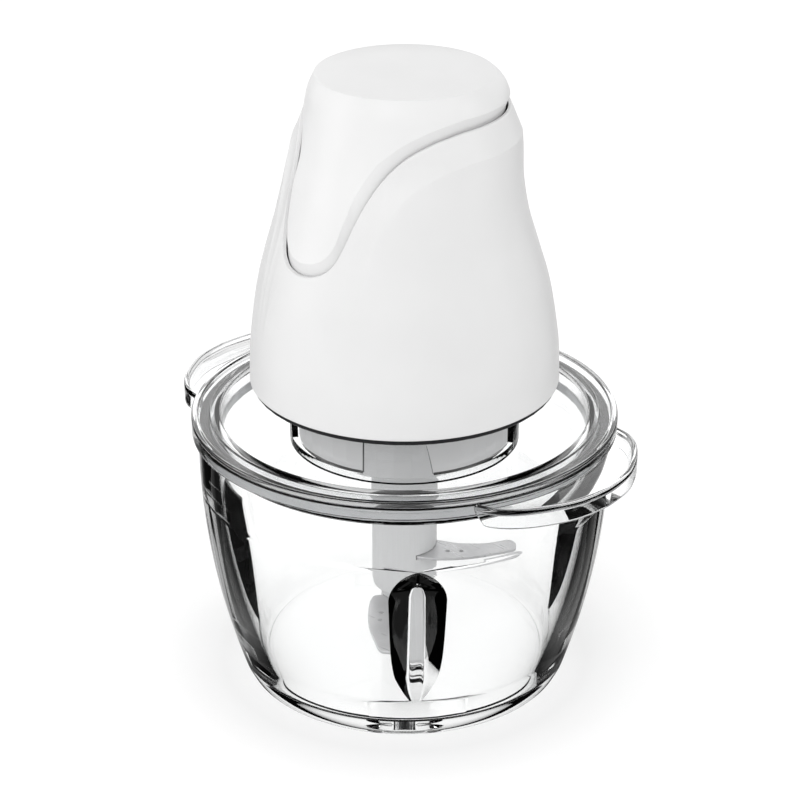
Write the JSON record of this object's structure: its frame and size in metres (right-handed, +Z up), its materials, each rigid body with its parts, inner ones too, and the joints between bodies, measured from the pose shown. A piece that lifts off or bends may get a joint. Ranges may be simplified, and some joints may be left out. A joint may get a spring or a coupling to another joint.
{
  "type": "food processor",
  "caption": "Small press-to-run food processor: clear bowl with inner ribs, clear lid with grip wings, lift-off motor unit and stacked sickle blades.",
  "frame": {"origin": "centre of the bowl's base, on the surface it stands on", "axes": "+Z up along the drive axis, -Y is the front with the press cap's tongue, +X and -X point along the lid's two grip wings"},
  "size_m": [0.2124, 0.176, 0.2623],
  "materials": {
    "clear_glass": "clear pressed glass",
    "clear_plastic": "clear moulded plastic, polished",
    "white_plastic": "satin white plastic",
    "grey_plastic": "satin grey plastic",
    "dark_plastic": "fine-grained black plastic",
    "nylon": "natural nylon",
    "silicone": "translucent grey silicone",
    "steel": "satin stainless steel",
    "laminated_steel": "stacked steel sheets",
    "copper": "varnished copper wire and sintered bronze",
    "carbon": "pressed carbon",
    "board_green": "coated circuit board"
  },
  "bodies": {
    "bowl": {"bowl": "clear_glass", "pivot_pin": "steel"},
    "lid": {"lid": "clear_plastic", "lid_seal": "silicone"},
    "motor_unit": {"motor_housing": "white_plastic", "base_cover": "grey_plastic", "trim_ring": "dark_plastic", "cable_gland": "dark_plastic", "housing_screw_1": "steel", "housing_screw_2": "steel", "housing_screw_3": "steel", "gearbox_housing": "dark_plastic", "ring_gear": "nylon", "gearbox_cover": "grey_plastic", "lower_bearing": "copper", "motor_cage": "steel", "stator_core": "laminated_steel", "field_coil_front": "copper", "field_coil_back": "copper", "brush_holder_left": "nylon", "brush_holder_right": "nylon", "carbon_brush_left": "carbon", "carbon_brush_right": "carbon", "upper_bearing": "copper", "button_guide": "nylon", "microswitch": "dark_plastic", "control_board": "board_green", "return_spring": "steel"},
    "press_cap": {"press_cap": "white_plastic", "plunger": "nylon", "switch_finger": "nylon"},
    "rotor": {"rotor_shaft": "steel", "armature_core": "laminated_steel", "lower_windings": "copper", "upper_windings": "copper", "commutator": "copper", "cooling_fan": "dark_plastic", "sun_gear": "steel"},
    "carrier": {"planet_carrier": "steel", "output_shaft": "steel", "drive_coupling": "dark_plastic"},
    "planet_1": {"planet_gear_1": "nylon"},
    "planet_2": {"planet_gear_2": "nylon"},
    "planet_3": {"planet_gear_3": "nylon"},
    "blades": {"blade_hub": "white_plastic", "hub_foot": "white_plastic", "hub_socket": "nylon", "upper_blade": "steel", "lower_blade": "steel"}
  },
  "joints": [
    {"name": "lid_lift", "type": "slide", "parent": "bowl", "child": "lid", "axis": [0, 0, 1], "range_m": [0, 0.06]},
    {"name": "motor_lift", "type": "slide", "parent": "lid", "child": "motor_unit", "axis": [0, 0, 1], "range_m": [0, 0.05]},
    {"name": "button_press", "type": "slide", "parent": "motor_unit", "child": "press_cap", "axis": [0, 0, -1], "range_m": [0, 0.0025], "stiffness_N_per_m": 600, "springref_m": -0.008, "deforming": ["return_spring"]},
    {"name": "rotor_spin", "type": "hinge", "parent": "motor_unit", "child": "rotor", "pos_m": [0, 0, 0.17], "axis": [0, 0, 1], "continuous": true},
    {"name": "carrier_spin", "type": "hinge", "parent": "motor_unit", "child": "carrier", "pos_m": [0, 0, 0.114], "axis": [0, 0, 1], "continuous": true},
    {"name": "planet_1_spin", "type": "hinge", "parent": "carrier", "child": "planet_1", "pos_m": [0.0135, 0, 0.12], "axis": [0, 0, 1], "continuous": true},
    {"name": "planet_2_spin", "type": "hinge", "parent": "carrier", "child": "planet_2", "pos_m": [-0.00675, 0.01169, 0.12], "axis": [0, 0, 1], "continuous": true},
    {"name": "planet_3_spin", "type": "hinge", "parent": "carrier", "child": "planet_3", "pos_m": [-0.00675, -0.01169, 0.12], "axis": [0, 0, 1], "continuous": true},
    {"name": "blade_spin", "type": "hinge", "parent": "bowl", "child": "blades", "pos_m": [0, 0, 0.06], "axis": [0, 0, 1], "continuous": true}
  ],
  "couplings": [
    {"joint": "carrier_spin", "follows": "rotor_spin", "ratio": 0.22222},
    {"joint": "planet_1_spin", "follows": "rotor_spin", "ratio": -0.62222},
    {"joint": "planet_2_spin", "follows": "rotor_spin", "ratio": -0.62222},
    {"joint": "planet_3_spin", "follows": "rotor_spin", "ratio": -0.62222},
    {"joint": "blade_spin", "follows": "rotor_spin", "ratio": 0.22222}
  ]
}
